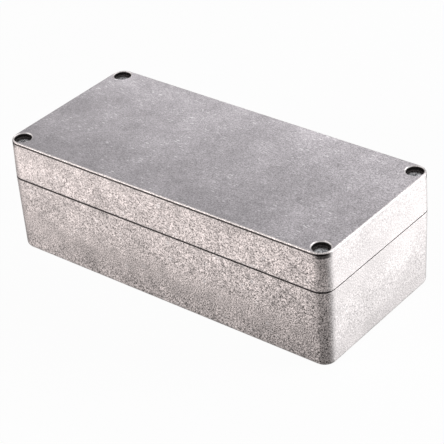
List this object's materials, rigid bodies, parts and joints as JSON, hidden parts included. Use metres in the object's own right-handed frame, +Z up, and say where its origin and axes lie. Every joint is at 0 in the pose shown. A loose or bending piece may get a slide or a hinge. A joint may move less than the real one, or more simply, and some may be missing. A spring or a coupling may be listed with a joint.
{
  "type": "die cast aluminium box",
  "caption": "Long sealed die cast aluminium enclosure with a deep lift-off lid, held by captive screws recessed in its corners.",
  "frame": {"origin": "centre of the box's flat underside", "axes": "+X along the length towards the end that the earthing boss is away from, +Y across the width, +Z up through the lid"},
  "size_m": [0.175, 0.08, 0.057],
  "materials": {
    "cast_aluminium": "raw die cast, fine grain",
    "gasket_rubber": "matt moulded rubber",
    "stainless_steel": "plain turned stainless steel",
    "nylon": "natural nylon",
    "brass": "plain turned brass"
  },
  "bodies": {
    "base": {"base": "cast_aluminium", "earth_screw": "brass", "earth_washer": "stainless_steel"},
    "lid": {"lid": "cast_aluminium", "gasket": "gasket_rubber"},
    "retainer_front_left": {"retainer_front_left": "nylon"},
    "screw_front_left": {"screw_front_left": "stainless_steel"},
    "retainer_front_right": {"retainer_front_right": "nylon"},
    "screw_front_right": {"screw_front_right": "stainless_steel"},
    "retainer_back_left": {"retainer_back_left": "nylon"},
    "screw_back_left": {"screw_back_left": "stainless_steel"},
    "retainer_back_right": {"retainer_back_right": "nylon"},
    "screw_back_right": {"screw_back_right": "stainless_steel"}
  },
  "joints": [
    {"name": "lid_lift", "type": "slide", "parent": "base", "child": "lid", "axis": [0, 0, 1], "range_m": [0, 0.09]},
    {"name": "retainer_front_left_rise", "type": "slide", "parent": "lid", "child": "retainer_front_left", "axis": [0, 0, 1], "range_m": [0, 0.007]},
    {"name": "screw_front_left_turn", "type": "hinge", "parent": "retainer_front_left", "child": "screw_front_left", "pos_m": [-0.0819, -0.0344, 0.05], "axis": [0, 0, 1], "range_deg": [0, 3600.5]},
    {"name": "retainer_front_right_rise", "type": "slide", "parent": "lid", "child": "retainer_front_right", "axis": [0, 0, 1], "range_m": [0, 0.007]},
    {"name": "screw_front_right_turn", "type": "hinge", "parent": "retainer_front_right", "child": "screw_front_right", "pos_m": [0.0819, -0.0344, 0.05], "axis": [0, 0, 1], "range_deg": [0, 3600.5]},
    {"name": "retainer_back_left_rise", "type": "slide", "parent": "lid", "child": "retainer_back_left", "axis": [0, 0, 1], "range_m": [0, 0.007]},
    {"name": "screw_back_left_turn", "type": "hinge", "parent": "retainer_back_left", "child": "screw_back_left", "pos_m": [-0.0819, 0.0344, 0.05], "axis": [0, 0, 1], "range_deg": [0, 3600.5]},
    {"name": "retainer_back_right_rise", "type": "slide", "parent": "lid", "child": "retainer_back_right", "axis": [0, 0, 1], "range_m": [0, 0.007]},
    {"name": "screw_back_right_turn", "type": "hinge", "parent": "retainer_back_right", "child": "screw_back_right", "pos_m": [0.0819, 0.0344, 0.05], "axis": [0, 0, 1], "range_deg": [0, 3600.5]}
  ],
  "couplings": [
    {"joint": "screw_front_left_turn", "follows": "retainer_front_left_rise", "rad_per_m": 8976},
    {"joint": "screw_front_right_turn", "follows": "retainer_front_right_rise", "rad_per_m": 8976},
    {"joint": "screw_back_left_turn", "follows": "retainer_back_left_rise", "rad_per_m": 8976},
    {"joint": "screw_back_right_turn", "follows": "retainer_back_right_rise", "rad_per_m": 8976}
  ]
}
